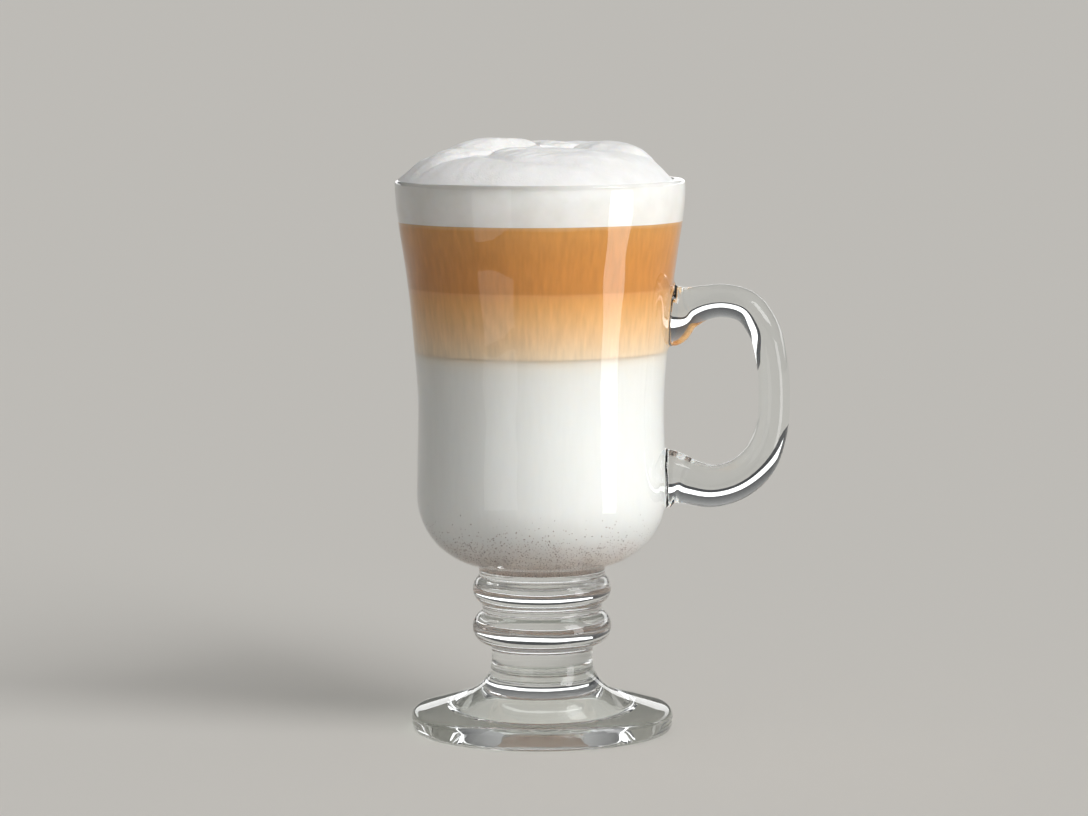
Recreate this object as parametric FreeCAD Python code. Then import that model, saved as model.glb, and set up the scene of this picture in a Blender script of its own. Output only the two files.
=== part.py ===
import FreeCAD, Part
import math
import os

# A latte in a footed pressed-glass coffee mug. Millimetres, +Z up.
# The origin is the middle of the foot's standing ring, on the glass's axis.
# The handle is towards +X.

vec = FreeCAD.Vector

# Bowl
rim_height = 149.6          # whole height of the glass
rim_radius = 39.1
flare_height = 122.0        # a station half way up the flare
flare_radius = 35.85
waist_height = 90.0         # narrowest part of the side
waist_radius = 33.3
belly_height = 64.0         # where the side turns in under the bowl
belly_radius = 33.7
bowl_bottom_height = 44.8   # lowest point of the bowl's outer curve
bowl_bottom_radius = 13.0   # inside this the outer curve is level
wall = 4.0                  # from the waist down
rim_wall = 2.8              # at the rim
rim_round = 1.0             # of the rim's edges, outside and inside
floor_height = 43.8         # lowest point of the inside
floor_radius = 3.0          # level spot in the middle of the inside

# Stem, from the bowl down
collar_radius = 17.0
bead_radius = 18.8          # both rings of the stem
upper_bead_top = 42.5
upper_bead_height = 38.4
groove_radius = 16.1
groove_height = 33.8
groove_width = 2.0
lower_bead_height = 28.7
lower_bead_bottom = 23.7
lower_bead_end_radius = 15.0
neck_radius = 13.75
neck_height = 19.5          # where the neck starts to sweep out
stem_fillet = 0.9

# Foot
foot_radius = 35.5
foot_sweep_radius = 9.7     # hollow curve from the neck to the foot
foot_slope = 15.8           # degrees below level
foot_edge_height = 4.2      # widest level of the foot's edge
foot_edge_radius = 2.4
foot_heel = 1.2             # rounding under the edge
hollow_depth = 8.0
hollow_mouth_radius = 22.4
hollow_top_radius = 13.0
hollow_fillet = 1.2

# Handle: a poured ear. Its centre line runs from root to root.
handle_reach = 29.7         # outermost centre line, from the waist's side
handle_top = 116.7          # highest centre line
handle_bottom = 66.4        # lowest centre line
handle_thickness = 8.7      # in its plane, where it is thinnest
handle_width = 10.2         # across its plane
handle_root_flare = 1.08    # last widening, inside the bowl's wall
section_points = 12
# Stations along the ear: share of the way from the bowl's side to the outermost
# centre line, share of the height, thickness factor
handle_stations = [
    (0.05, 0.945, 1.76),
    (0.175, 0.965, 1.30),
    (0.325, 0.990, 1.08),
    (0.515, 1.000, 1.03),
    (0.735, 0.965, 1.01),
    (0.885, 0.860, 0.99),
    (0.975, 0.685, 0.98),
    (1.00, 0.490, 0.99),
    (0.965, 0.285, 1.02),
    (0.845, 0.125, 1.16),
    (0.62, 0.025, 1.26),
    (0.42, 0.000, 1.32),
    (0.23, 0.022, 1.40),
    (0.097, 0.042, 1.52),
]

# The drink: levels of the borders between its layers
milk_level = 103.6
light_level = 121.0
dark_level = 138.7

# Foam mound above the rim
foam_height = 9.7           # general height above the rim
foam_radius = 37.3          # where the mound meets the rim
foam_shift = -0.9           # the mound leans to the side away from the handle
foam_steepness = 4.6
foam_lean = 0.2             # steeper towards the handle, gentler away from it
crest_height = 1.1          # two crests to the left and right of a dip
crest_spacing = 33.0
fold_height = 0.75          # folds that run across the mound
fold_pitch = 17.0
fold_slant = 14.0           # degrees
fold_bend = 0.006           # how much the folds curve, 1/mm
foam_grid = 20              # spans of the surface each way
foam_margin = 1.06          # the surface is this much wider than the rim


def xz(radius, height):
    return vec(radius, 0, height)


def quarter(start, corner, end):
    """A curve like a quarter ellipse, from start to end, inside the corner."""
    pull = 0.5523
    curve = Part.BezierCurve()
    curve.setPoles([start, start + (corner - start) * pull, end + (corner - end) * pull, end])
    return curve


def parameter_where(curve, test):
    """The parameter where test(point) turns from True to False."""
    low, high = curve.FirstParameter, curve.LastParameter
    for _ in range(50):
        middle = (low + high) / 2
        if test(curve.value(middle)):
            low = middle
        else:
            high = middle
    return low


def rim_level():
    """Where the rim's rounding starts."""
    return rim_height - rim_round


def rounding(centre, side):
    """The middle of the rim's rounding on the outside (side 1) or the inside (side -1)."""
    reach = rim_round * math.sqrt(0.5)
    return xz(centre + side * reach, rim_level() + reach)


def side_curve(inside):
    """The bowl's side from the rim's rounding down to the belly; inside is 0 or 1."""
    curve = Part.BSplineCurve()
    flare_wall = (wall + rim_wall) / 2
    stations = [
        xz(rim_radius - inside * rim_wall, rim_level()),
        xz(flare_radius - inside * flare_wall, flare_height),
        xz(waist_radius - inside * wall, waist_height),
        xz(belly_radius - inside * wall, belly_height),
    ]
    curve.interpolate(Points=stations, InitialTangent=vec(0, 0, -1), FinalTangent=vec(0, 0, -1))
    return curve


def outer_radius_at(height):
    side = side_curve(0)
    return side.value(parameter_where(side, lambda point: point.z > height)).x


def floor_curve():
    """The inside of the bowl's bottom, from the belly to the level spot."""
    inner = belly_radius - wall
    return quarter(xz(inner, belly_height), xz(inner, floor_height), xz(floor_radius, floor_height))


def revolve(edges):
    wire = Part.Wire(Part.__sortEdges__(edges))
    return Part.Face(wire).revolve(vec(0, 0, 0), vec(0, 0, 1), 360)


def line(start, end):
    return Part.LineSegment(start, end).toShape()


def arc(start, through, end):
    return Part.Arc(start, through, end).toShape()


def cavity():
    """The space inside the bowl, up to where the rim's rounding starts."""
    top = rim_level()
    edges = [
        line(xz(0, floor_height), xz(floor_radius, floor_height)),
        floor_curve().toShape(),
        side_curve(1).toShape(),
        line(xz(rim_radius - rim_wall, top), xz(0, top)),
        line(xz(0, top), xz(0, floor_height)),
    ]
    return revolve(edges)


def foot_edges():
    """Outline of the hollow, standing ring, foot and its sweep up to the neck."""
    slope = math.radians(foot_slope)
    out = vec(math.sin(slope), 0, math.cos(slope))
    edge_centre = xz(foot_radius - foot_edge_radius, foot_edge_height)
    sweep_centre = xz(neck_radius + foot_sweep_radius, neck_height)
    edge_top = edge_centre + out * foot_edge_radius
    sweep_end = sweep_centre - out * foot_sweep_radius
    half = (math.pi / 2 - slope) / 2
    edge_middle = edge_centre + vec(math.cos(half), 0, math.sin(half)) * foot_edge_radius
    sweep_middle = sweep_centre - vec(math.cos(half), 0, math.sin(half)) * foot_sweep_radius
    edge_side = xz(foot_radius, foot_edge_height)
    heel = xz(foot_radius - foot_heel, 0)
    return [
        line(xz(0, hollow_depth), xz(hollow_top_radius, hollow_depth)),
        line(xz(hollow_top_radius, hollow_depth), xz(hollow_mouth_radius, 0)),
        line(xz(hollow_mouth_radius, 0), heel),
        quarter(heel, xz(foot_radius, 0), edge_side).toShape(),
        arc(edge_side, edge_middle, edge_top),
        line(edge_top, sweep_end),
        arc(sweep_end, sweep_middle, xz(neck_radius, neck_height)),
    ]


def stem_edges():
    """Outline of the neck, the two beads with their groove, and the collar."""
    neck_top = xz(neck_radius, lower_bead_bottom - stem_fillet)
    lower_start = xz(lower_bead_end_radius, lower_bead_bottom)
    lower_end = xz(groove_radius, groove_height - groove_width / 2)
    upper_start = xz(groove_radius, groove_height + groove_width / 2)
    upper_end = xz(collar_radius, upper_bead_top)
    return [
        line(xz(neck_radius, neck_height), neck_top),
        line(neck_top, lower_start),
        arc(lower_start, xz(bead_radius, lower_bead_height), lower_end),
        line(lower_end, upper_start),
        arc(upper_start, xz(bead_radius, upper_bead_height), upper_end),
    ]


def bowl_edges():
    """Outline of the bowl, from the collar up, over the rim and down the inside."""
    under = quarter(
        xz(belly_radius, belly_height),
        xz(belly_radius, bowl_bottom_height),
        xz(bowl_bottom_radius, bowl_bottom_height),
    )
    meeting = parameter_where(under, lambda point: point.x > collar_radius)
    join = under.value(meeting)
    outer_rim = xz(rim_radius, rim_level())
    inner_rim = xz(rim_radius - rim_wall, rim_level())
    inner_top = rim_radius - rim_wall + rim_round
    return [
        line(xz(collar_radius, upper_bead_top), join),
        under.toShape(under.FirstParameter, meeting),
        side_curve(0).toShape(),
        arc(outer_rim, rounding(rim_radius - rim_round, 1), xz(rim_radius - rim_round, rim_height)),
        line(xz(rim_radius - rim_round, rim_height), xz(inner_top, rim_height)),
        arc(xz(inner_top, rim_height), rounding(inner_top, -1), inner_rim),
        side_curve(1).toShape(),
        floor_curve().toShape(),
        line(xz(floor_radius, floor_height), xz(0, floor_height)),
        line(xz(0, floor_height), xz(0, hollow_depth)),
    ]


def ring_edges(solid, radius, height):
    """The circles of a turned solid that pass through this radius and height."""
    found = []
    for edge in solid.Edges:
        curve = edge.Curve
        if not isinstance(curve, Part.Circle):
            continue
        if abs(curve.Radius - radius) < 0.01 and abs(curve.Center.z - height) < 0.01:
            found.append(edge)
    return found


def turned_glass():
    """Bowl, stem and foot in one, with their inner corners rounded."""
    solid = revolve(foot_edges() + stem_edges() + bowl_edges())
    stem_corners = [
        (neck_radius, lower_bead_bottom - stem_fillet),
        (groove_radius, groove_height - groove_width / 2),
        (groove_radius, groove_height + groove_width / 2),
        (collar_radius, upper_bead_top),
    ]
    for radius, height in stem_corners:
        solid = solid.makeFillet(stem_fillet / 2, ring_edges(solid, radius, height))
    for radius, height in [(hollow_top_radius, hollow_depth), (hollow_mouth_radius, 0)]:
        solid = solid.makeFillet(hollow_fillet, ring_edges(solid, radius, height))
    return solid


def handle_height(share_up):
    return handle_bottom + (handle_top - handle_bottom) * share_up


def handle():
    """The ear, lofted through oval sections square to its centre line."""
    top_root = handle_height(handle_stations[0][1])
    bottom_root = handle_height(handle_stations[-1][1])
    top_side = outer_radius_at(top_root)
    bottom_side = outer_radius_at(bottom_root)
    outermost = waist_radius + handle_reach
    points = [xz(top_side - wall / 2, top_root)]
    for share_out, share_up, _ in handle_stations:
        height = handle_height(share_up)
        side = bottom_side + (top_side - bottom_side) * (height - bottom_root) / (top_root - bottom_root)
        points.append(xz(side + (outermost - side) * share_out, height))
    points.append(xz(bottom_side - wall / 2, bottom_root))
    factors = [factor for _, _, factor in handle_stations]
    factors = [factors[0] * handle_root_flare] + factors + [factors[-1] * handle_root_flare]
    centre = Part.BSplineCurve()
    centre.interpolate(Points=points, InitialTangent=vec(1, 0, 0), FinalTangent=vec(-1, 0, 0))
    sections = []
    for point, factor in zip(points, factors):
        along = centre.tangent(centre.parameter(point))[0]
        across = vec(0, 1, 0).cross(along)
        corners = []
        for step in range(section_points):
            angle = 2 * math.pi * step / section_points
            in_plane = across * (math.sin(angle) * handle_thickness * factor / 2)
            sideways = vec(0, 1, 0) * (math.cos(angle) * handle_width / 2)
            corners.append(point + in_plane + sideways)
        section = Part.BSplineCurve()
        section.interpolate(Points=corners, PeriodicFlag=True)
        sections.append(Part.Wire(section.toShape()))
    return Part.makeLoft(sections, True, False)


def largest_solid(shape):
    return max(shape.Solids, key=lambda solid: solid.Volume)


def slab(low, high):
    size = 4 * rim_radius
    return Part.makeBox(size, size, high - low, vec(-size / 2, -size / 2, low))


def foam_top(x, y):
    """Height of the foam's surface above the rim."""
    share = math.hypot(x - foam_shift, y) / foam_radius
    steepness = foam_steepness * (1 + foam_lean * x / rim_radius)
    mound = math.tanh(steepness * (1 - share))
    crests = crest_height * math.sin(2 * math.pi * (abs(x) / crest_spacing - 0.25))
    slant = math.radians(fold_slant)
    across = y * math.cos(slant) - x * math.sin(slant) + fold_bend * x * x
    folds = fold_height * math.sin(2 * math.pi * across / fold_pitch)
    return foam_height * mound + (crests + folds) * max(mound, 0)


def foam_surface():
    """A smooth face over the whole mound, a little wider than the rim."""
    reach = rim_radius * foam_margin
    rows = []
    for i in range(foam_grid + 1):
        x = reach * (2 * i / foam_grid - 1)
        row = []
        for j in range(foam_grid + 1):
            y = reach * (2 * j / foam_grid - 1)
            row.append(vec(x, y, rim_height + foam_top(x, y)))
        rows.append(row)
    surface = Part.BSplineSurface()
    surface.interpolate(rows)
    return surface.toShape()


def foam(glass):
    """The foam inside the rim and the folded mound that stands on it."""
    inside = cavity().common(slab(dark_level, rim_height))
    below_surface = foam_surface().extrude(vec(0, 0, -2 * foam_height))
    headroom = Part.makeCylinder(rim_radius, 3 * foam_height, vec(0, 0, rim_level()))
    mound = largest_solid(headroom.common(below_surface).cut(glass))
    return inside.fuse(mound).removeSplitter()


def main():
    glass = turned_glass().fuse(handle())
    drink = cavity()
    nodes = {
        "glass": glass,
        "milk": drink.common(slab(0, milk_level)),
        "latte_light": drink.common(slab(milk_level, light_level)),
        "latte_dark": drink.common(slab(light_level, dark_level)),
        "foam": foam(glass),
    }
    os.makedirs("parts", exist_ok=True)
    for name, shape in nodes.items():
        solid = largest_solid(shape)
        print(name, "solids", len(shape.Solids), "valid", solid.isValid(), "volume", round(solid.Volume))
        solid.exportStep("parts/" + name + ".step")


main()
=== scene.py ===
import math
import random

import bmesh
import bpy
from mathutils import Euler, Matrix, Quaternion, Vector, noise
from mathutils.geometry import interpolate_bezier


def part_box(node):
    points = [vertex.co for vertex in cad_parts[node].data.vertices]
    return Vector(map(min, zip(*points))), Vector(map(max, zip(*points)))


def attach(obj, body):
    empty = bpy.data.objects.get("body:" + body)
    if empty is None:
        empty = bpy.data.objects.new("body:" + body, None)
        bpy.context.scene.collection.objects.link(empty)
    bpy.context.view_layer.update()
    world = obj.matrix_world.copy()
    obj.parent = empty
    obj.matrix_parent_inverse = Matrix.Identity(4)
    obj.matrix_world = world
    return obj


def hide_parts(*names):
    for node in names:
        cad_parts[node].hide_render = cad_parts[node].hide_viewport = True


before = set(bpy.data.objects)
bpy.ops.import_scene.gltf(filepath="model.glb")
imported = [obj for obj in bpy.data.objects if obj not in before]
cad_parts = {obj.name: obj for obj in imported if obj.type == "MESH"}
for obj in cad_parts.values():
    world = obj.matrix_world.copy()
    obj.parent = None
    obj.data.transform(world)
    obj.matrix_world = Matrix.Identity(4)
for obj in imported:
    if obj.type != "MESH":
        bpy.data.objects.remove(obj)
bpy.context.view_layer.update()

# A latte in a footed pressed-glass mug. Shapes are made in millimetres and turned
# to metres when their mesh is finished. The drink's levels come from the frame.
mm = 0.001


def levelOf(node):
    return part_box(node)[1][2] / mm


levels = {
    "milk": levelOf("milk"),
    "light": levelOf("latte_light"),
    "dark": levelOf("latte_dark"),
    "rim": levelOf("glass"),
}

# sizes of the glass, in millimetres
mug = {
    "rimRadius": 39.1,
    "rimWall": 2.8,
    "rimRound": 1.0,
    "flareHeight": 122.0,
    "flareRadius": 35.85,
    "waistHeight": 90.0,
    "waistRadius": 33.3,
    "bellyHeight": 64.0,
    "bellyRadius": 33.7,
    "wall": 4.0,
    "bowlBottom": 44.8,
    "bowlBottomRadius": 13.0,
    "floorHeight": 43.8,
    "floorRadius": 3.0,
    "collarRadius": 17.0,
    "upperBeadTop": 42.5,
    "upperBeadHeight": 38.4,
    "beadRadius": 18.8,
    "grooveRadius": 16.1,
    "grooveHeight": 33.8,
    "grooveWidth": 2.0,
    "lowerBeadHeight": 28.7,
    "lowerBeadBottom": 23.7,
    "lowerBeadEnd": 15.0,
    "stemFillet": 0.9,
    "neckRadius": 13.75,
    "neckHeight": 19.5,
    "footSweep": 9.7,
    "footSlope": 15.8,
    "footRadius": 35.5,
    "footEdgeHeight": 4.2,
    "footEdgeRadius": 2.4,
    "footHeel": 1.2,
    "hollowDepth": 8.0,
    "hollowMouth": 22.4,
    "hollowTop": 13.0,
    "spacing": 0.55,       # between points along the outline
    "stemTop": 52.0,       # above this only each third point is kept
    "turns": 144,          # faces round the glass
    "polish": 2,           # smoothing passes that round its creases
    "waviness": 0.15,      # unevenness of pressed glass
    "wavePitch": 8.5,
    "waveStretch": 0.7,
    "rimSpare": 0.01,      # the waves stay this far inside the rim's full size
}

# centres of the flat rim's two roundings
rimOuter = mug["rimRadius"] - mug["rimRound"]
rimInner = mug["rimRadius"] - mug["rimWall"] + mug["rimRound"]
rimCentre = levels["rim"] - mug["rimRound"]

ear = {
    "reach": 29.7,
    "top": 116.7,
    "bottom": 66.4,
    "thickness": 8.7,
    "width": 10.2,
    # share of the way out, thickness factor, share of the height
    "stations": [
        (0.05, 1.76, 0.945),
        (0.175, 1.30, 0.965),
        (0.325, 1.08, 0.990),
        (0.515, 1.03, 1.000),
        (0.735, 1.01, 0.965),
        (0.885, 0.99, 0.860),
        (0.975, 0.98, 0.685),
        (1.00, 0.99, 0.490),
        (0.965, 1.02, 0.285),
        (0.845, 1.16, 0.125),
        (0.62, 1.26, 0.025),
        (0.42, 1.32, 0.000),
        (0.23, 1.40, 0.022),
        (0.097, 1.52, 0.042),
    ],
    "around": 44,
    "steps": 8,            # rings between two stations
    "rootFlare": 0.22,
    "rootReach": 3.0,
    "rootCrease": 0.35,    # radians; sharper edges at the roots are rounded
    "rootClose": 0.6,      # millimetres from the bowl's side
    "rootBelow": 8,        # millimetres below the belly
    "rootRings": 2,        # neighbours that are rounded too
    "rootSmoothing": 6,
}


# Outlines

def xz(radius, height):
    return Vector((radius, 0, height))


def quarter(start, corner, end, steps=12):
    # a quarter of an ellipse inside the corner, as near as one curve comes to it
    pull = 0.5523
    return interpolate_bezier(start, start.lerp(corner, pull), end.lerp(corner, pull), end, steps)


def arcFrom(centre, radius, start, end, steps=10):
    points = []
    for step in range(steps + 1):
        angle = math.radians(start + (end - start) * step / steps)
        points.append(centre + xz(math.cos(angle), math.sin(angle)) * radius)
    return points


def smoothRun(stations, first, last, steps=14):
    # a smooth line through the stations, with the given directions at its ends
    count = len(stations)
    tangents = [first]
    for i in range(1, count - 1):
        before = (stations[i] - stations[i - 1]).length
        after = (stations[i + 1] - stations[i]).length
        slopeIn = (stations[i] - stations[i - 1]) / before
        slopeOut = (stations[i + 1] - stations[i]) / after
        tangents.append((slopeIn * after + slopeOut * before) / (before + after))
    tangents.append(last)
    points = [stations[0]]
    for i in range(count - 1):
        third = (stations[i + 1] - stations[i]).length / 3
        handleOut = stations[i] + tangents[i] * third
        handleIn = stations[i + 1] - tangents[i + 1] * third
        points += interpolate_bezier(stations[i], handleOut, handleIn, stations[i + 1], steps)[1:]
    return points


def evenly(points, spacing):
    # the same line with points at an even spacing
    length = sum((b - a).length for a, b in zip(points, points[1:]))
    count = max(2, round(length / spacing))
    step = length / count
    result = [points[0]]
    travelled = 0.0
    for a, b in zip(points, points[1:]):
        span = (b - a).length
        while span > 0 and len(result) < count and travelled + span >= step * len(result):
            share = (step * len(result) - travelled) / span
            result.append(a.lerp(b, share))
        travelled += span
    result.append(points[-1])
    return result


def polished(points, passes):
    # rounds the creases of a line whose ends stay
    for _ in range(passes):
        middle = [(a + b * 2 + c) / 4 for a, b, c in zip(points, points[1:], points[2:])]
        points = [points[0]] + middle + [points[-1]]
    return points


def sideRun(inside, offset=0.0):
    # the bowl's side from the rim's rounding down to the belly; inside is 0 or 1
    flareWall = (mug["wall"] + mug["rimWall"]) / 2
    down = Vector((0, 0, -1))
    stations = [
        xz(mug["rimRadius"] - inside * mug["rimWall"] + offset, rimCentre),
        xz(mug["flareRadius"] - inside * flareWall + offset, mug["flareHeight"]),
        xz(mug["waistRadius"] - inside * mug["wall"] + offset, mug["waistHeight"]),
        xz(mug["bellyRadius"] - inside * mug["wall"] + offset, mug["bellyHeight"]),
    ]
    return smoothRun(stations, down, down)


def floorRun(offset=0.0):
    # the inside of the bowl's bottom, from the belly to its level middle
    inner = mug["bellyRadius"] - mug["wall"] + offset
    floor = mug["floorHeight"] - offset
    return quarter(
        xz(inner, mug["bellyHeight"]), xz(inner, floor), xz(mug["floorRadius"], floor), 24,
    )


def radiusOn(run, height):
    # radius of a line that runs downwards; past its ends, its last point's
    for a, b in zip(run, run[1:]):
        if b.z <= height <= a.z:
            return a.lerp(b, (a.z - height) / (a.z - b.z)).x
    return run[-1].x


def radiusAt(height):
    return radiusOn(sideRun(0), height)


def footRun():
    edge = xz(mug["footRadius"] - mug["footEdgeRadius"], mug["footEdgeHeight"])
    sweep = xz(mug["neckRadius"] + mug["footSweep"], mug["neckHeight"])
    heel = xz(mug["footRadius"] - mug["footHeel"], 0)
    side = xz(mug["footRadius"], mug["footEdgeHeight"])
    hollow = [
        xz(0, mug["hollowDepth"]),
        xz(mug["hollowTop"], mug["hollowDepth"]),
        xz(mug["hollowMouth"], 0),
    ]
    return (
        hollow
        + quarter(heel, xz(mug["footRadius"], 0), side, 6)
        + arcFrom(edge, mug["footEdgeRadius"], 0, 90 - mug["footSlope"])[1:]
        + arcFrom(sweep, mug["footSweep"], 270 - mug["footSlope"], 180, 16)
    )


def arcThrough(start, middle, end, steps=20):
    # the arc through three points, as the mould of a bead is cut
    first, second = middle - start, end - start
    turn = first.cross(second)
    rise = second.cross(turn) * first.length_squared + turn.cross(first) * second.length_squared
    centre = start + rise / (2 * turn.length_squared)
    angles = [math.degrees(math.atan2((p - centre).z, (p - centre).x)) for p in (start, end)]
    return arcFrom(centre, (start - centre).length, *angles, steps)


def glassOutline():
    belly = xz(mug["bellyRadius"], mug["bellyHeight"])
    under = quarter(
        xz(mug["bowlBottomRadius"], mug["bowlBottom"]),
        xz(mug["bellyRadius"], mug["bowlBottom"]),
        belly,
        40,
    )
    under = [point for point in under if point.x > mug["collarRadius"]]
    grooveLow = xz(mug["grooveRadius"], mug["grooveHeight"] - mug["grooveWidth"] / 2)
    grooveHigh = xz(mug["grooveRadius"], mug["grooveHeight"] + mug["grooveWidth"] / 2)
    lowerBead = xz(mug["beadRadius"], mug["lowerBeadHeight"])
    upperBead = xz(mug["beadRadius"], mug["upperBeadHeight"])
    outside = (
        footRun()
        + [xz(mug["neckRadius"], mug["lowerBeadBottom"] - mug["stemFillet"])]
        + arcThrough(xz(mug["lowerBeadEnd"], mug["lowerBeadBottom"]), lowerBead, grooveLow)
        + arcThrough(grooveHigh, upperBead, xz(mug["collarRadius"], mug["upperBeadTop"]))
        + under
        + sideRun(0)[-2::-1]
    )
    outside = polished(evenly(outside, mug["spacing"]), mug["polish"])
    outside = [
        point for i, point in enumerate(outside[:-1])
        if point.z < mug["stemTop"] or i % 3 == 0
    ]
    rim = arcFrom(xz(rimOuter, rimCentre), mug["rimRound"], 0, 90, 8)
    rim += arcFrom(xz(rimInner, rimCentre), mug["rimRound"], 90, 180, 8)
    inside = evenly(sideRun(1) + floorRun()[1:], mug["spacing"] * 3)[1:]
    return outside + rim + inside + [xz(0, mug["floorHeight"])]


# Mesh helpers

def finishMesh(bm, name, material, sharpAngle=180):
    bmesh.ops.transform(bm, matrix=Matrix.Scale(mm, 4), verts=bm.verts)
    mesh = bpy.data.meshes.new(name)
    bm.to_mesh(mesh)
    bm.free()
    mesh.polygons.foreach_set("use_smooth", [True] * len(mesh.polygons))
    mesh.set_sharp_from_angle(angle=math.radians(sharpAngle))
    mesh.materials.append(material)
    piece = bpy.data.objects.new(name, mesh)
    bpy.context.scene.collection.objects.link(piece)
    return piece


def turned(outline, turns):
    # an outline that starts and ends on the axis, spun into a closed body
    bm = bmesh.new()
    verts = [bm.verts.new(point) for point in outline]
    edges = [bm.edges.new(pair) for pair in zip(verts, verts[1:])]
    bmesh.ops.spin(
        bm, geom=verts + edges, cent=(0, 0, 0), axis=(0, 0, 1), angle=2 * math.pi, steps=turns,
        use_merge=True, use_normal_flip=False, use_duplicate=False,
    )
    bmesh.ops.remove_doubles(bm, verts=bm.verts, dist=1e-4)
    bmesh.ops.recalc_face_normals(bm, faces=bm.faces)
    return bm


def wrappedGrid(rows, columns, place):
    # a grid whose rows run from pole to pole and whose columns run round the axis
    bm = bmesh.new()
    bmesh.ops.create_grid(bm, x_segments=rows, y_segments=columns, size=1)
    for vert in bm.verts:
        row = round((vert.co.x + 1) / 2 * rows)
        vert.co = place(row, math.pi * (vert.co.y + 1))
    bmesh.ops.remove_doubles(bm, verts=bm.verts, dist=1e-4)
    bmesh.ops.recalc_face_normals(bm, faces=bm.faces)
    return bm


# Materials

def hexColour(code):
    channels = [int(code[i:i + 2], 16) / 255 for i in (1, 3, 5)]
    linear = [c / 12.92 if c <= 0.04045 else ((c + 0.055) / 1.055) ** 2.4 for c in channels]
    return (*linear, 1.0)


def addNode(tree, kind, settings=None, inputs=None):
    node = tree.nodes.new(kind)
    for name, value in (settings or {}).items():
        setattr(node, name, value)
    for name, value in (inputs or {}).items():
        if isinstance(value, bpy.types.NodeSocket):
            tree.links.new(value, node.inputs[name])
        else:
            node.inputs[name].default_value = value
    return node


def newMaterial(name):
    material = bpy.data.materials.new(name)
    material.use_nodes = True
    material.node_tree.nodes.clear()
    return material, material.node_tree


def perMm(size):
    # the noise scale, for coordinates in metres, that gives features of this size
    return 1 / (size * mm)


def setRamp(node, stops):
    ramp = node.color_ramp
    ramp.interpolation = "LINEAR"
    while len(ramp.elements) < len(stops):
        ramp.elements.new(1.0)
    for element, (position, colour) in zip(ramp.elements, stops):
        element.position = position
        element.color = colour


def pressedGlass():
    # Clear soda-lime glass, pressed in a mould and fire-polished: bright and slightly
    # wavy, so that reflections wobble. Lamps reach the drink through it.
    material, tree = newMaterial("pressedGlass")
    place = addNode(tree, "ShaderNodeTexCoord")
    stretch = addNode(tree, "ShaderNodeMapping", inputs={
        "Vector": place.outputs["Object"],
        "Scale": (1, 1, 0.35),
    })
    wave = addNode(tree, "ShaderNodeTexNoise", inputs={
        "Vector": stretch.outputs["Vector"],
        "Scale": perMm(9),
        "Detail": 1.0,
    })
    bump = addNode(tree, "ShaderNodeBump", inputs={
        "Height": wave.outputs["Fac"],
        "Strength": 0.25,
        "Distance": 0.3 * mm,
    })
    glass = addNode(tree, "ShaderNodeBsdfPrincipled", inputs={
        "Base Color": hexColour("#F9FBFA"),
        "Roughness": 0.0,
        "IOR": 1.52,
        "Transmission Weight": 1.0,
        "Normal": bump.outputs["Normal"],
    })
    clear = addNode(tree, "ShaderNodeBsdfTransparent", inputs={"Color": hexColour("#F6F8F7")})
    path = addNode(tree, "ShaderNodeLightPath")
    mix = addNode(tree, "ShaderNodeMixShader", inputs={"Fac": path.outputs["Is Shadow Ray"]})
    tree.links.new(glass.outputs["BSDF"], mix.inputs[1])
    tree.links.new(clear.outputs["BSDF"], mix.inputs[2])
    addNode(tree, "ShaderNodeOutputMaterial", inputs={"Surface": mix.outputs["Shader"]})
    return material


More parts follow.
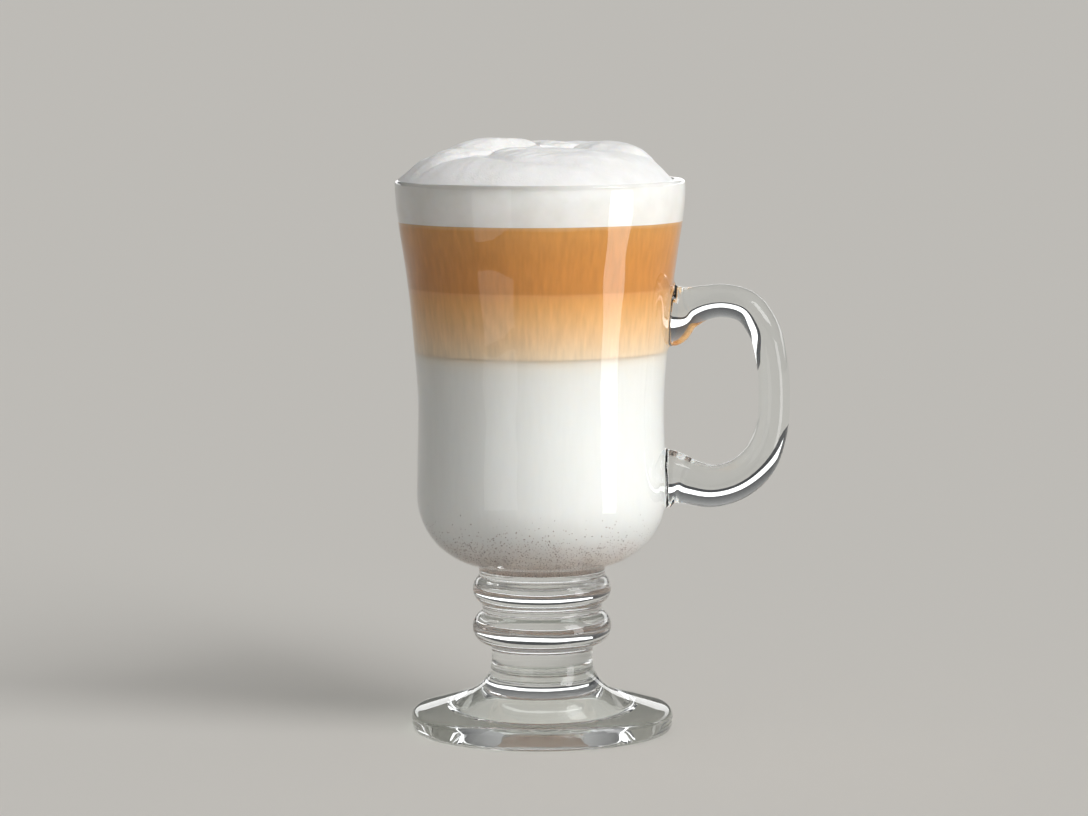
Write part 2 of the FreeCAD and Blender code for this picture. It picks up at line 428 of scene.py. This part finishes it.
def opaqueLiquid(name, values):
    # Milk or milky coffee against glass: an opaque liquid whose colour changes softly
    # with the height, where the layers mix and, low in the milk, where painted light brightens it,
    # with faint upright streaks.
    material, tree = newMaterial(name)
    stops = values["stops"]
    low, high = stops[0][0], stops[-1][0]
    place = addNode(tree, "ShaderNodeTexCoord")
    parts = addNode(tree, "ShaderNodeSeparateXYZ", inputs={"Vector": place.outputs["Object"]})
    drift = addNode(tree, "ShaderNodeTexNoise", inputs={
        "Vector": place.outputs["Object"],
        "Scale": perMm(14),
        "Detail": 3.0,
    })
    shift = addNode(tree, "ShaderNodeMapRange", inputs={
        "Value": drift.outputs["Fac"],
        "From Min": 0.3,
        "From Max": 0.7,
        "To Min": -drink["wobble"] * mm,
        "To Max": drink["wobble"] * mm,
    })
    height = addNode(tree, "ShaderNodeMath", {"operation": "ADD"})
    tree.links.new(parts.outputs["Z"], height.inputs[0])
    tree.links.new(shift.outputs["Result"], height.inputs[1])
    share = addNode(tree, "ShaderNodeMapRange", inputs={
        "Value": height.outputs["Value"],
        "From Min": low * mm,
        "From Max": high * mm,
    })
    ramp = addNode(tree, "ShaderNodeValToRGB", inputs={"Fac": share.outputs["Result"]})
    setRamp(ramp, [((z - low) / (high - low), hexColour(code)) for z, code in stops])
    streaks = addNode(tree, "ShaderNodeMapping", inputs={
        "Vector": place.outputs["Object"],
        "Scale": (1, 1, 0.12),
    })
    grain = addNode(tree, "ShaderNodeTexNoise", inputs={
        "Vector": streaks.outputs["Vector"],
        "Scale": perMm(drink["streakWidth"]),
        "Detail": 4.0,
    })
    tone = addNode(tree, "ShaderNodeMapRange", inputs={
        "Value": grain.outputs["Fac"],
        "From Min": 0.3,
        "From Max": 0.7,
        "To Min": 1 - values["mottle"],
        "To Max": 1 + values["mottle"],
    })
    colour = addNode(tree, "ShaderNodeVectorMath", {"operation": "SCALE"})
    tree.links.new(ramp.outputs["Color"], colour.inputs[0])
    tree.links.new(tone.outputs["Result"], colour.inputs["Scale"])
    body = addNode(tree, "ShaderNodeBsdfPrincipled", inputs={
        "Base Color": colour.outputs["Vector"],
        "Roughness": 0.6,
        "Specular IOR Level": 0.05,
        "Subsurface Weight": values["glow"],
        "Subsurface Radius": (1.0, 0.9, 0.8),
        "Subsurface Scale": 5 * mm,
    })
    addNode(tree, "ShaderNodeOutputMaterial", inputs={"Surface": body.outputs["BSDF"]})
    return material


def milkFoam():
    # Steamed milk foam: white, matt and close, with bubbles of a few tenths of a
    # millimetre that give it a fine cream-like grain.
    material, tree = newMaterial("milkFoam")
    place = addNode(tree, "ShaderNodeTexCoord")
    cloud = addNode(tree, "ShaderNodeTexNoise", inputs={
        "Vector": place.outputs["Object"],
        "Scale": perMm(6),
        "Detail": 5.0,
    })
    ramp = addNode(tree, "ShaderNodeValToRGB", inputs={"Fac": cloud.outputs["Fac"]})
    setRamp(ramp, [(0.3, hexColour("#F3F2EF")), (0.7, hexColour("#FCFBFA"))])
    bubbles = addNode(tree, "ShaderNodeTexVoronoi", inputs={
        "Vector": place.outputs["Object"],
        "Scale": perMm(0.55),
    })
    fine = addNode(tree, "ShaderNodeTexNoise", inputs={
        "Vector": place.outputs["Object"],
        "Scale": perMm(1.2),
        "Detail": 6.0,
        "Roughness": 0.7,
    })
    both = addNode(tree, "ShaderNodeMath", {"operation": "ADD"})
    tree.links.new(bubbles.outputs["Distance"], both.inputs[0])
    tree.links.new(fine.outputs["Fac"], both.inputs[1])
    parts = addNode(tree, "ShaderNodeSeparateXYZ", inputs={"Vector": place.outputs["Object"]})
    # foam pressed against glass is smooth
    exposed = addNode(tree, "ShaderNodeMapRange", inputs={
        "Value": parts.outputs["Z"],
        "From Min": levels["rim"] * mm,
        "From Max": (levels["rim"] + 1) * mm,
    })
    relief = addNode(tree, "ShaderNodeMath", {"operation": "MULTIPLY"})
    tree.links.new(both.outputs["Value"], relief.inputs[0])
    tree.links.new(exposed.outputs["Result"], relief.inputs[1])
    bump = addNode(tree, "ShaderNodeBump", inputs={
        "Height": relief.outputs["Value"],
        "Strength": 0.5,
        "Distance": 0.12 * mm,
    })
    body = addNode(tree, "ShaderNodeBsdfPrincipled", inputs={
        "Base Color": ramp.outputs["Color"],
        "Roughness": 0.75,
        "Specular IOR Level": 0.25,
        "Subsurface Weight": 0.3,
        "Subsurface Radius": (1.0, 0.8, 0.6),
        "Subsurface Scale": 1.5 * mm,
        "Normal": bump.outputs["Normal"],
    })
    addNode(tree, "ShaderNodeOutputMaterial", inputs={"Surface": body.outputs["BSDF"]})
    return material


def coffeeGrounds():
    # Roasted, ground coffee: near-black brown, dull, each grain a little different.
    material, tree = newMaterial("coffeeGrounds")
    place = addNode(tree, "ShaderNodeTexCoord")
    tone = addNode(tree, "ShaderNodeTexNoise", inputs={
        "Vector": place.outputs["Object"],
        "Scale": perMm(0.8),
    })
    ramp = addNode(tree, "ShaderNodeValToRGB", inputs={"Fac": tone.outputs["Fac"]})
    setRamp(ramp, [(0.35, hexColour("#5F3D2F")), (0.65, hexColour("#9A7362"))])
    body = addNode(tree, "ShaderNodeBsdfPrincipled", inputs={
        "Base Color": ramp.outputs["Color"],
        "Roughness": 0.8,
    })
    addNode(tree, "ShaderNodeOutputMaterial", inputs={"Surface": body.outputs["BSDF"]})
    return material


# The glass: turned body with the ear joined on

def wavy(bm):
    for vert in bm.verts:
        radius = math.hypot(vert.co.x, vert.co.y)
        if radius < 1 or vert.co.z < mug["footEdgeHeight"]:
            continue
        spot = Vector((vert.co.x, vert.co.y, vert.co.z * mug["waveStretch"])) / mug["wavePitch"]
        grow = 1 + mug["waviness"] * noise.noise(spot) / radius
        if vert.co.z > levels["dark"]:
            grow = min(grow, max(1, (mug["rimRadius"] - mug["rimSpare"]) / radius))
        vert.co.x *= grow
        vert.co.y *= grow


def earBody():
    topRoot = ear["bottom"] + (ear["top"] - ear["bottom"]) * ear["stations"][0][2]
    bottomRoot = ear["bottom"] + (ear["top"] - ear["bottom"]) * ear["stations"][-1][2]
    topSide = radiusAt(topRoot)
    bottomSide = radiusAt(bottomRoot)
    outermost = mug["waistRadius"] + ear["reach"]
    # in each station the Y value carries the thickness factor
    run = [Vector((topSide - mug["wall"] / 2, ear["stations"][0][1], topRoot))]
    for out, factor, up in ear["stations"]:
        height = ear["bottom"] + (ear["top"] - ear["bottom"]) * up
        side = bottomSide + (topSide - bottomSide) * (height - bottomRoot) / (topRoot - bottomRoot)
        run.append(Vector((side + (outermost - side) * out, factor, height)))
    run.append(Vector((bottomSide - mug["wall"] / 2, ear["stations"][-1][1], bottomRoot)))
    line = smoothRun(run, Vector((1, 0, 0)), Vector((-1, 0, 0)), ear["steps"])
    bm = bmesh.new()
    rings = []
    for i, point in enumerate(line):
        ahead = line[min(i + 1, len(line) - 1)]
        behind = line[max(i - 1, 0)]
        along = Vector((ahead.x - behind.x, 0, ahead.z - behind.z)).normalized()
        sideways = Vector((0, 1, 0))
        across = sideways.cross(along)
        gap = max(0, point.x - radiusAt(point.z))
        flare = 1 + ear["rootFlare"] * math.exp(-((gap / ear["rootReach"]) ** 2))
        turn = Matrix((sideways, across, along)).transposed().to_4x4()
        half = (ear["width"] / 2 * flare, ear["thickness"] / 2 * point.y * flare)
        size = Matrix.Diagonal((*half, 1, 1))
        spot = Matrix.Translation((point.x, 0, point.z))
        isEnd = i in (0, len(line) - 1)
        ring = bmesh.ops.create_circle(
            bm, cap_ends=isEnd, segments=ear["around"], radius=1,
            matrix=spot @ turn @ size,
        )
        rings.append({edge for vert in ring["verts"] for edge in vert.link_edges})
    for a, b in zip(rings, rings[1:]):
        bmesh.ops.bridge_loops(bm, edges=list(a | b))
    bmesh.ops.recalc_face_normals(bm, faces=bm.faces)
    return bm


def nearRoot(point):
    # how far a point beside the ear is from the bowl's side, in millimetres
    if point.x < 0 or point.z < mug["bellyHeight"] - ear["rootBelow"] or abs(point.y) > ear["width"]:
        return math.inf
    return abs(math.hypot(point.x, point.y) - radiusAt(point.z))


def makeGlass():
    bm = turned(glassOutline(), mug["turns"])
    wavy(bm)
    material = pressedGlass()
    bowl = finishMesh(bm, "glassBowl", material)
    handle = finishMesh(earBody(), "glassEar", material)
    union = bowl.modifiers.new("join", "BOOLEAN")
    union.operation = "UNION"
    union.solver = "EXACT"
    union.object = handle
    shown = bowl.evaluated_get(bpy.context.evaluated_depsgraph_get())
    bm = bmesh.new()
    bm.from_mesh(shown.to_mesh())
    bpy.data.objects.remove(bowl)
    bpy.data.objects.remove(handle)
    bmesh.ops.transform(bm, matrix=Matrix.Scale(1 / mm, 4), verts=bm.verts)
    bmesh.ops.remove_doubles(bm, verts=bm.verts, dist=0.01)
    sharp = [
        edge for edge in bm.edges
        if len(edge.link_faces) == 2 and edge.calc_face_angle(0) > ear["rootCrease"]
    ]
    corner = {vert for edge in sharp for vert in edge.verts if nearRoot(vert.co) < ear["rootClose"]}
    for _ in range(ear["rootRings"]):
        corner |= {edge.other_vert(vert) for vert in corner for edge in vert.link_edges}
    for _ in range(ear["rootSmoothing"]):
        bmesh.ops.smooth_vert(
            bm, verts=list(corner), factor=0.5,
            use_axis_x=True, use_axis_y=True, use_axis_z=True,
        )
    piece = finishMesh(bm, "footedMug", material)
    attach(piece, "root")
    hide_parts("glass")
    print("glass made:", len(piece.data.polygons), "faces")


# The drink below the foam

drink = {
    "intoWall": 0.18,      # the liquid reaches this far into the glass
    "turns": 144,
    "spacing": 1.2,
    "sharpAngle": 40,
    "streakWidth": 1.2,    # of the faint streaks in a layer
    "wobble": 0.3,         # how far the boundaries waver
}

# One dictionary for each layer. mottle is the strength of the streaks, glow is how much
# light spreads inside, and stops are heights above the foot's underside, in
# millimetres, with the colours there.
steamedMilk = {
    "mottle": 0.012,
    "glow": 0.6,
    "stops": [
        # the stops up to 56 mm keep the milk's pinkish-beige tint near the bottom, and are also
        # brightened there: painted light that makes up for the shade the bowl's bottom falls in
        (44.0, "#F5DFD3"),
        (48.0, "#F6E7DE"),
        (52.0, "#F6EFEB"),
        (56.0, "#F3F2F0"),
        (97.0, "#F0F0EE"),
        (99.6, "#F0EFEB"),
        (101.2, "#F2EEE7"),
        (102.4, "#F2E9DD"),
        (103.6, "#F2DCC0"),
    ],
}

milkyCoffee = {
    "mottle": 0.075,
    "glow": 0.15,
    "stops": [
        (103.6, "#F3DCC0"),
        (104.4, "#F3DABA"),
        (106.0, "#F3D6B2"),
        (109.8, "#F2CB9C"),
        (113.3, "#EFC188"),
        (118.3, "#EAB06B"),
        (120.6, "#E5A561"),
        (121.0, "#DE9B57"),
    ],
}

strongCoffee = {
    "mottle": 0.075,
    "glow": 0.15,
    "stops": [
        (121.0, "#D9974F"),
        (121.6, "#D5934A"),
        (130.0, "#D7964B"),
        (137.6, "#DB9C53"),
        (138.7, "#E2B47C"),
    ],
}


def innerRadiusAt(height):
    return radiusOn(sideRun(1, drink["intoWall"]), height)


def layerOutline(low, high):
    # from the middle of the top out, down the wall and back to the axis
    wallLine = sideRun(1, drink["intoWall"])
    if low is None:
        bottom = mug["floorHeight"] - drink["intoWall"]
        side = [point for point in wallLine if point.z < high] + floorRun(drink["intoWall"])[1:]
    else:
        bottom = low
        side = [point for point in wallLine if low < point.z < high]
        side.append(xz(innerRadiusAt(low), low))
    side = evenly([xz(innerRadiusAt(high), high)] + side, drink["spacing"])
    return [xz(0, high)] + side + [xz(0, bottom)]


def makeLayer(name, node, low, high, values):
    material = opaqueLiquid(name + "Liquid", values)
    bm = turned(layerOutline(low, high), drink["turns"])
    piece = finishMesh(bm, name, material, drink["sharpAngle"])
    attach(piece, "root")
    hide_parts(node)
    print(name, "made")


# The foam

foamValues = {
    "radius": 37.5,        # of the mound's edge on the rim
    "shift": -1.2,         # the mound sits away from the handle
    "steepness": 5.2,
    "lean": 0.15,
    "rings": 150,
    "around": 380,
    "sharpAngle": 60,
    "intoRim": 0.12,
    "rimGap": 0.3,         # the edge stays this far inside the rim's outside
    "edgeUneven": 0.35,
    "edgeWaves": 4,
    "body": 7.3,           # general height above the rim
    "softness": 0.16,      # of the creases between the folds
    "crease": 0.60,        # how deep they are
    "creaseWidth": 0.45,
    "bend": 2.4,           # how far the folds wander, broadly and finely
    "bendSize": 12,
    "kink": 0.8,
    "kinkSize": 4.5,
    "pleat": 0.40,         # fine ridges along the folds
    "pleatTurn": 14,
    "pleatLong": 9.0,
    "pleatWide": 1.9,
    "pleatBend": 0.6,
    "pleatStart": 0.3,     # below the general height
    "lump": 0.30,
    "lumpSize": 8.0,
    "wrinkle": 0.30,       # fine wrinkles that run down the sides
    "wrinkleSize": 2.4,
    "wrinkleAround": 37,
    "wrinkleDown": 0.3,
    "grain": 0.05,
    "grainSize": 1.1,
}

# Folds that lie over each other as the foam was spooned on. Places are seen from
# above, long and wide are half sizes, turn is in degrees, top is above the rim.
foamFolds = [
    {"x": 12, "y": -12, "long": 27, "wide": 17, "turn": 3, "top": 8.9},
    {"x": -29, "y": -7, "long": 11, "wide": 10, "turn": 60, "top": 8.4},
    {"x": -21, "y": -3, "long": 12, "wide": 5.5, "turn": 16, "top": 9.2},
    {"x": -12, "y": 5, "long": 15, "wide": 8, "turn": 12, "top": 11.2},
    {"x": -4, "y": -4, "long": 10, "wide": 4.5, "turn": 18, "top": 9.1},
    {"x": 3, "y": 2, "long": 10, "wide": 5, "turn": 10, "top": 9.4},
    {"x": 19, "y": 3, "long": 13, "wide": 12, "turn": -14, "top": 11.0},
    {"x": 6, "y": 13, "long": 20, "wide": 11, "turn": 8, "top": 10.0},
    {"x": -20, "y": 19, "long": 18, "wide": 10, "turn": -25, "top": 9.3},
    {"x": 12, "y": 26, "long": 22, "wide": 10, "turn": -8, "top": 8.8},
]


def foldHeight(fold, x, y):
    turn = math.radians(fold["turn"])
    across, behind = x - fold["x"], y - fold["y"]
    along = (across * math.cos(turn) + behind * math.sin(turn)) / fold["long"]
    beside = (behind * math.cos(turn) - across * math.sin(turn)) / fold["wide"]
    reach = math.hypot(along, beside)
    return fold["top"] - (fold["top"] - foamValues["body"]) * min(reach, 3) ** 3


def foamTop(x, y):
    # height of the mound above its edge
    share = math.hypot(x - foamValues["shift"], y) / foamValues["radius"]
    steepness = foamValues["steepness"] * (1 + foamValues["lean"] * x / mug["rimRadius"])
    mound = math.tanh(steepness * max(0, 1 - share))
    bend = foamValues["bend"] * noise.noise(Vector((x, y, 3)) / foamValues["bendSize"])
    bend += foamValues["kink"] * noise.noise(Vector((x, y, 9)) / foamValues["kinkSize"])
    soft = foamValues["softness"]
    heights = sorted([foldHeight(fold, x, y + bend) for fold in foamFolds] + [foamValues["body"]])
    heap = sum(math.exp((height - heights[-1]) / soft) for height in heights)
    height = heights[-1] + soft * math.log(heap)
    gap = (heights[-1] - heights[-2]) / foamValues["creaseWidth"]
    height -= foamValues["crease"] * math.exp(-gap * gap)
    height += foamValues["lump"] * noise.noise(Vector((x, y, 0)) / foamValues["lumpSize"])
    turn = math.radians(foamValues["pleatTurn"])
    along = (x * math.cos(turn) + y * math.sin(turn)) / foamValues["pleatLong"]
    across = y * math.cos(turn) - x * math.sin(turn) + bend * foamValues["pleatBend"]
    across /= foamValues["pleatWide"]
    ridged = min(1, max(0, height - foamValues["body"] + foamValues["pleatStart"]))
    height += foamValues["pleat"] * ridged * noise.noise(Vector((along, across, 7)))
    angle = math.atan2(y, x)
    ring = foamValues["wrinkleAround"]
    down = math.hypot(x, y) * foamValues["wrinkleDown"]
    spot = Vector((math.cos(angle) * ring, math.sin(angle) * ring, down))
    leftness = 0.5 - 0.5 * x / mug["rimRadius"]
    wrinkle = foamValues["wrinkle"] * share * leftness
    height += wrinkle * noise.noise(spot / foamValues["wrinkleSize"])
    grain = foamValues["grain"] * noise.noise(Vector((x, y, 5)) / foamValues["grainSize"])
    return height * mound + grain * min(1, mound * 4)


def rimSkin(radius):
    # a level just under the rim's surface at this radius
    over = max(0, radius - rimOuter, rimInner - radius)
    tube = mug["rimRound"] - foamValues["intoRim"]
    return rimCentre + math.sqrt(max(0, tube * tube - over * over))


def foamStations():
    # rows of the foam's skin from its top middle round to its bottom middle
    rows = [("top", ring / foamValues["rings"]) for ring in range(foamValues["rings"])]
    rows += [("rim", step / 4) for step in range(5)]
    tube = mug["rimRound"] - foamValues["intoRim"]
    wallLine = arcFrom(xz(rimInner, rimCentre), tube, 90, 180, 6)[1:]
    wallLine += [point for point in sideRun(1, drink["intoWall"]) if point.z > levels["dark"]][1:]
    wallLine += [xz(innerRadiusAt(levels["dark"]), levels["dark"]), xz(0, levels["dark"])]
    return rows + [("wall", point) for point in wallLine]


def makeFoam():
    rows = foamStations()
    outermost = mug["rimRadius"] - foamValues["rimGap"]

    def place(row, angle):
        kind, value = rows[row]
        around = Vector((math.cos(angle), math.sin(angle), 0))
        if kind == "wall":
            return around * value.x + Vector((0, 0, value.z))
        edge = foamValues["radius"] + foamValues["shift"] * math.cos(angle)
        edge += foamValues["edgeUneven"] * noise.noise(around * foamValues["edgeWaves"])
        edge = min(edge, outermost)
        if kind == "rim":
            radius = edge + (rimInner - edge) * value
            return around * radius + Vector((0, 0, rimSkin(radius)))
        spot = around * (edge * value)
        return spot + Vector((0, 0, rimSkin(edge) + foamTop(spot.x, spot.y)))

    bm = wrappedGrid(len(rows) - 1, foamValues["around"], place)
    piece = finishMesh(bm, "milkFoamMound", milkFoam(), foamValues["sharpAngle"])
    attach(piece, "root")
    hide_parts("foam")
    print("foam made:", len(piece.data.polygons), "faces")


# Specks of coffee that have sunk to the bottom of the milk

speckValues = {
    "count": 5600,
    "smallest": 0.13,
    "largest": 0.36,
    "low": 48.0,
    "spread": 4.6,         # they thin out over this height
    "heapSide": 255,       # degrees round from the handle, where most have settled
    "heap": (0.55, 0.45),  # how many lie anywhere, and how many more on that side
    "clump": 0.4,
    "clumpsAround": 3,
    "clumpHeight": 4,
    "spacing": 0.25,
    "intoMilk": 0.05,      # outside the milk's skin, so that they show
    "seed": 7,
}


def makeSpecks():
    random.seed(speckValues["seed"])
    line = evenly(floorRun(drink["intoWall"] + speckValues["intoMilk"]), speckValues["spacing"])
    even, side = speckValues["heap"]
    clumps = speckValues["clumpsAround"]
    growth = speckValues["largest"] / speckValues["smallest"]
    grain = bmesh.new()
    bmesh.ops.create_icosphere(grain, subdivisions=1, radius=1)
    speck = bpy.data.meshes.new("speck")
    grain.to_mesh(speck)
    grain.free()
    bm = bmesh.new()
    made = 0
    while made < speckValues["count"]:
        point = random.choice(line)
        thin = math.exp(-(((point.z - speckValues["low"]) / speckValues["spread"]) ** 2) / 2)
        angle = random.uniform(0, 2 * math.pi)
        heap = even + side * math.cos(angle - math.radians(speckValues["heapSide"]))
        cell = (
            math.cos(angle) * clumps,
            math.sin(angle) * clumps,
            point.z / speckValues["clumpHeight"],
        )
        heap += speckValues["clump"] * noise.noise(Vector(cell))
        if random.random() > thin * heap * point.x / mug["bellyRadius"]:
            continue
        size = speckValues["smallest"] * growth ** random.random()
        wide = size / 2 * random.uniform(0.5, 1)
        tall = size / 2 * random.uniform(0.6, 1)
        turn = Euler([random.uniform(0, math.pi) for _ in range(3)]).to_matrix().to_4x4()
        spot = Matrix.Rotation(angle, 4, "Z") @ Matrix.Translation(point)
        shaped = speck.copy()
        shaped.transform(spot @ turn @ Matrix.Diagonal((size / 2, wide, tall, 1)))
        bm.from_mesh(shaped)
        bpy.data.meshes.remove(shaped)
        made += 1
    bpy.data.meshes.remove(speck)
    piece = finishMesh(bm, "coffeeSpecks", coffeeGrounds())
    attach(piece, "root")
    print("specks made:", made)


# Studio: pale floor, soft lights, camera

studio = {
    "floorSize": 600.0,    # metres, so that its edge is never seen
    "floorColour": "#DDDAD4",
    "ceilingColour": "#F4F4F4",
    "ceilingFrom": 0.85,   # height on the world's sphere, from 0 to 1
    "ceilingStrength": 0.42,
    "wallColour": "#67696D",
    "wallUpTo": 0.15,
    "sunAzimuth": 47,      # from the camera's side round to the handle's side
    "sunElevation": 32,
    "sunAngle": 46,
    "sunStrength": 2.5,
}

# Softboxes that only show as reflections in the glass, in metres
softboxes = {
    "strip": {
        "azimuth": 63,
        "distance": 0.27,
        "low": 0.0,
        "high": 0.135,
        "width": 0.085,
        "glow": 3.6,
    },
    "panel": {
        "azimuth": -37,
        "distance": 0.40,
        "low": 0.0,
        "high": 0.30,
        "width": 0.22,
        "glow": 0.9,
    },
    "window": {
        "azimuth": 60,
        "distance": 0.85,
        "low": 0.38,
        "high": 0.95,
        "width": 0.40,
        "glow": 5.0,
    },
    "back": {
        "azimuth": 165,
        "distance": 1.3,
        "low": 0.18,
        "high": 0.40,
        "width": 3.2,
        "glow": 1.8,
    },
}

# metres, degrees, and millimetres for the lens and the sensor
camera = {
    "x": 0.00078,
    "distance": 1.110,
    "height": 0.200,
    "pitch": 5.77,
    "roll": -0.24,
    "lens": 136.65,
    "sensor": 36.0,
    "nearest": 0.05,
    "farthest": 2000,
}


def makeFloor():
    material, tree = newMaterial("studioFloor")
    body = addNode(tree, "ShaderNodeBsdfPrincipled", inputs={
        "Base Color": hexColour(studio["floorColour"]),
        "Roughness": 1.0,
        "Specular IOR Level": 0.0,
    })
    addNode(tree, "ShaderNodeOutputMaterial", inputs={"Surface": body.outputs["BSDF"]})
    bm = bmesh.new()
    bmesh.ops.create_circle(bm, cap_ends=True, segments=64, radius=studio["floorSize"] / 2 / mm)
    floor = finishMesh(bm, "studioFloorDisc", material)
    print("floor made")


def makeWorld():
    # bright overhead and dim at eye level, which draws dark edges on clear glass
    world = bpy.data.worlds.new("studioWorld")
    bpy.context.scene.world = world
    world.use_nodes = True
    tree = world.node_tree
    tree.nodes.clear()
    place = addNode(tree, "ShaderNodeTexCoord")
    parts = addNode(tree, "ShaderNodeSeparateXYZ", inputs={"Vector": place.outputs["Generated"]})
    ramp = addNode(tree, "ShaderNodeValToRGB", inputs={"Fac": parts.outputs["Z"]})
    setRamp(ramp, [
        (studio["wallUpTo"], hexColour(studio["wallColour"])),
        (studio["ceilingFrom"], hexColour(studio["ceilingColour"])),
    ])
    light = addNode(tree, "ShaderNodeBackground", inputs={
        "Color": ramp.outputs["Color"],
        "Strength": studio["ceilingStrength"],
    })
    addNode(tree, "ShaderNodeOutputWorld", inputs={"Surface": light.outputs["Background"]})


def addLight(name, data, place, aim):
    lamp = bpy.data.objects.new(name, data)
    lamp.location = place
    lamp.rotation_mode = "QUATERNION"
    lamp.rotation_quaternion = (aim - place).to_track_quat("-Z", "Y")
    lamp.visible_camera = False
    bpy.context.scene.collection.objects.link(lamp)
    return lamp


def towards(azimuth, distance, height):
    angle = math.radians(azimuth)
    return Vector((math.sin(angle) * distance, -math.cos(angle) * distance, height))


def makeLights():
    makeWorld()
    data = bpy.data.lights.new("key", "SUN")
    data.energy = studio["sunStrength"]
    data.angle = math.radians(studio["sunAngle"])
    high = math.tan(math.radians(studio["sunElevation"]))
    key = addLight("key", data, towards(studio["sunAzimuth"], 2, 2 * high), Vector((0, 0, 0)))
    key.visible_glossy = False
    key.visible_transmission = False
    for name, values in softboxes.items():
        tall = values["high"] - values["low"]
        data = bpy.data.lights.new(name, "AREA")
        data.shape = "RECTANGLE"
        data.size = values["width"]
        data.size_y = tall
        # a lamp's power is its brightness times pi times its area
        data.energy = values["glow"] * math.pi * values["width"] * tall
        middle = (values["low"] + values["high"]) / 2
        place = towards(values["azimuth"], values["distance"], middle)
        box = addLight(name, data, place, Vector((0, 0, middle)))
        box.visible_diffuse = False
    print("lights made:", len(softboxes) + 1)


def makeCamera():
    data = bpy.data.cameras.new("view")
    data.lens = camera["lens"]
    data.sensor_width = camera["sensor"]
    data.clip_start = camera["nearest"]
    data.clip_end = camera["farthest"]
    view = bpy.data.objects.new("view", data)
    view.location = (camera["x"], -camera["distance"], camera["height"])
    view.rotation_mode = "QUATERNION"
    level = Euler((math.radians(90 - camera["pitch"]), 0, 0)).to_quaternion()
    view.rotation_quaternion = level @ Quaternion((0, 0, 1), math.radians(camera["roll"]))
    bpy.context.scene.collection.objects.link(view)
    bpy.context.scene.camera = view
    print("camera placed")


def setRendering():
    scene = bpy.context.scene
    scene.view_settings.view_transform = "Standard"
    scene.cycles.max_bounces = 24
    scene.cycles.transmission_bounces = 20
    scene.cycles.glossy_bounces = 8
    scene.cycles.transparent_max_bounces = 24


print("frame loaded:", len(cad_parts), "nodes")
makeGlass()
makeLayer("steamedMilk", "milk", None, levels["milk"], steamedMilk)
makeLayer("milkyCoffee", "latte_light", levels["milk"], levels["light"], milkyCoffee)
makeLayer("strongCoffee", "latte_dark", levels["light"], levels["dark"], strongCoffee)
makeFoam()
makeSpecks()
makeFloor()
makeLights()
makeCamera()
setRendering()
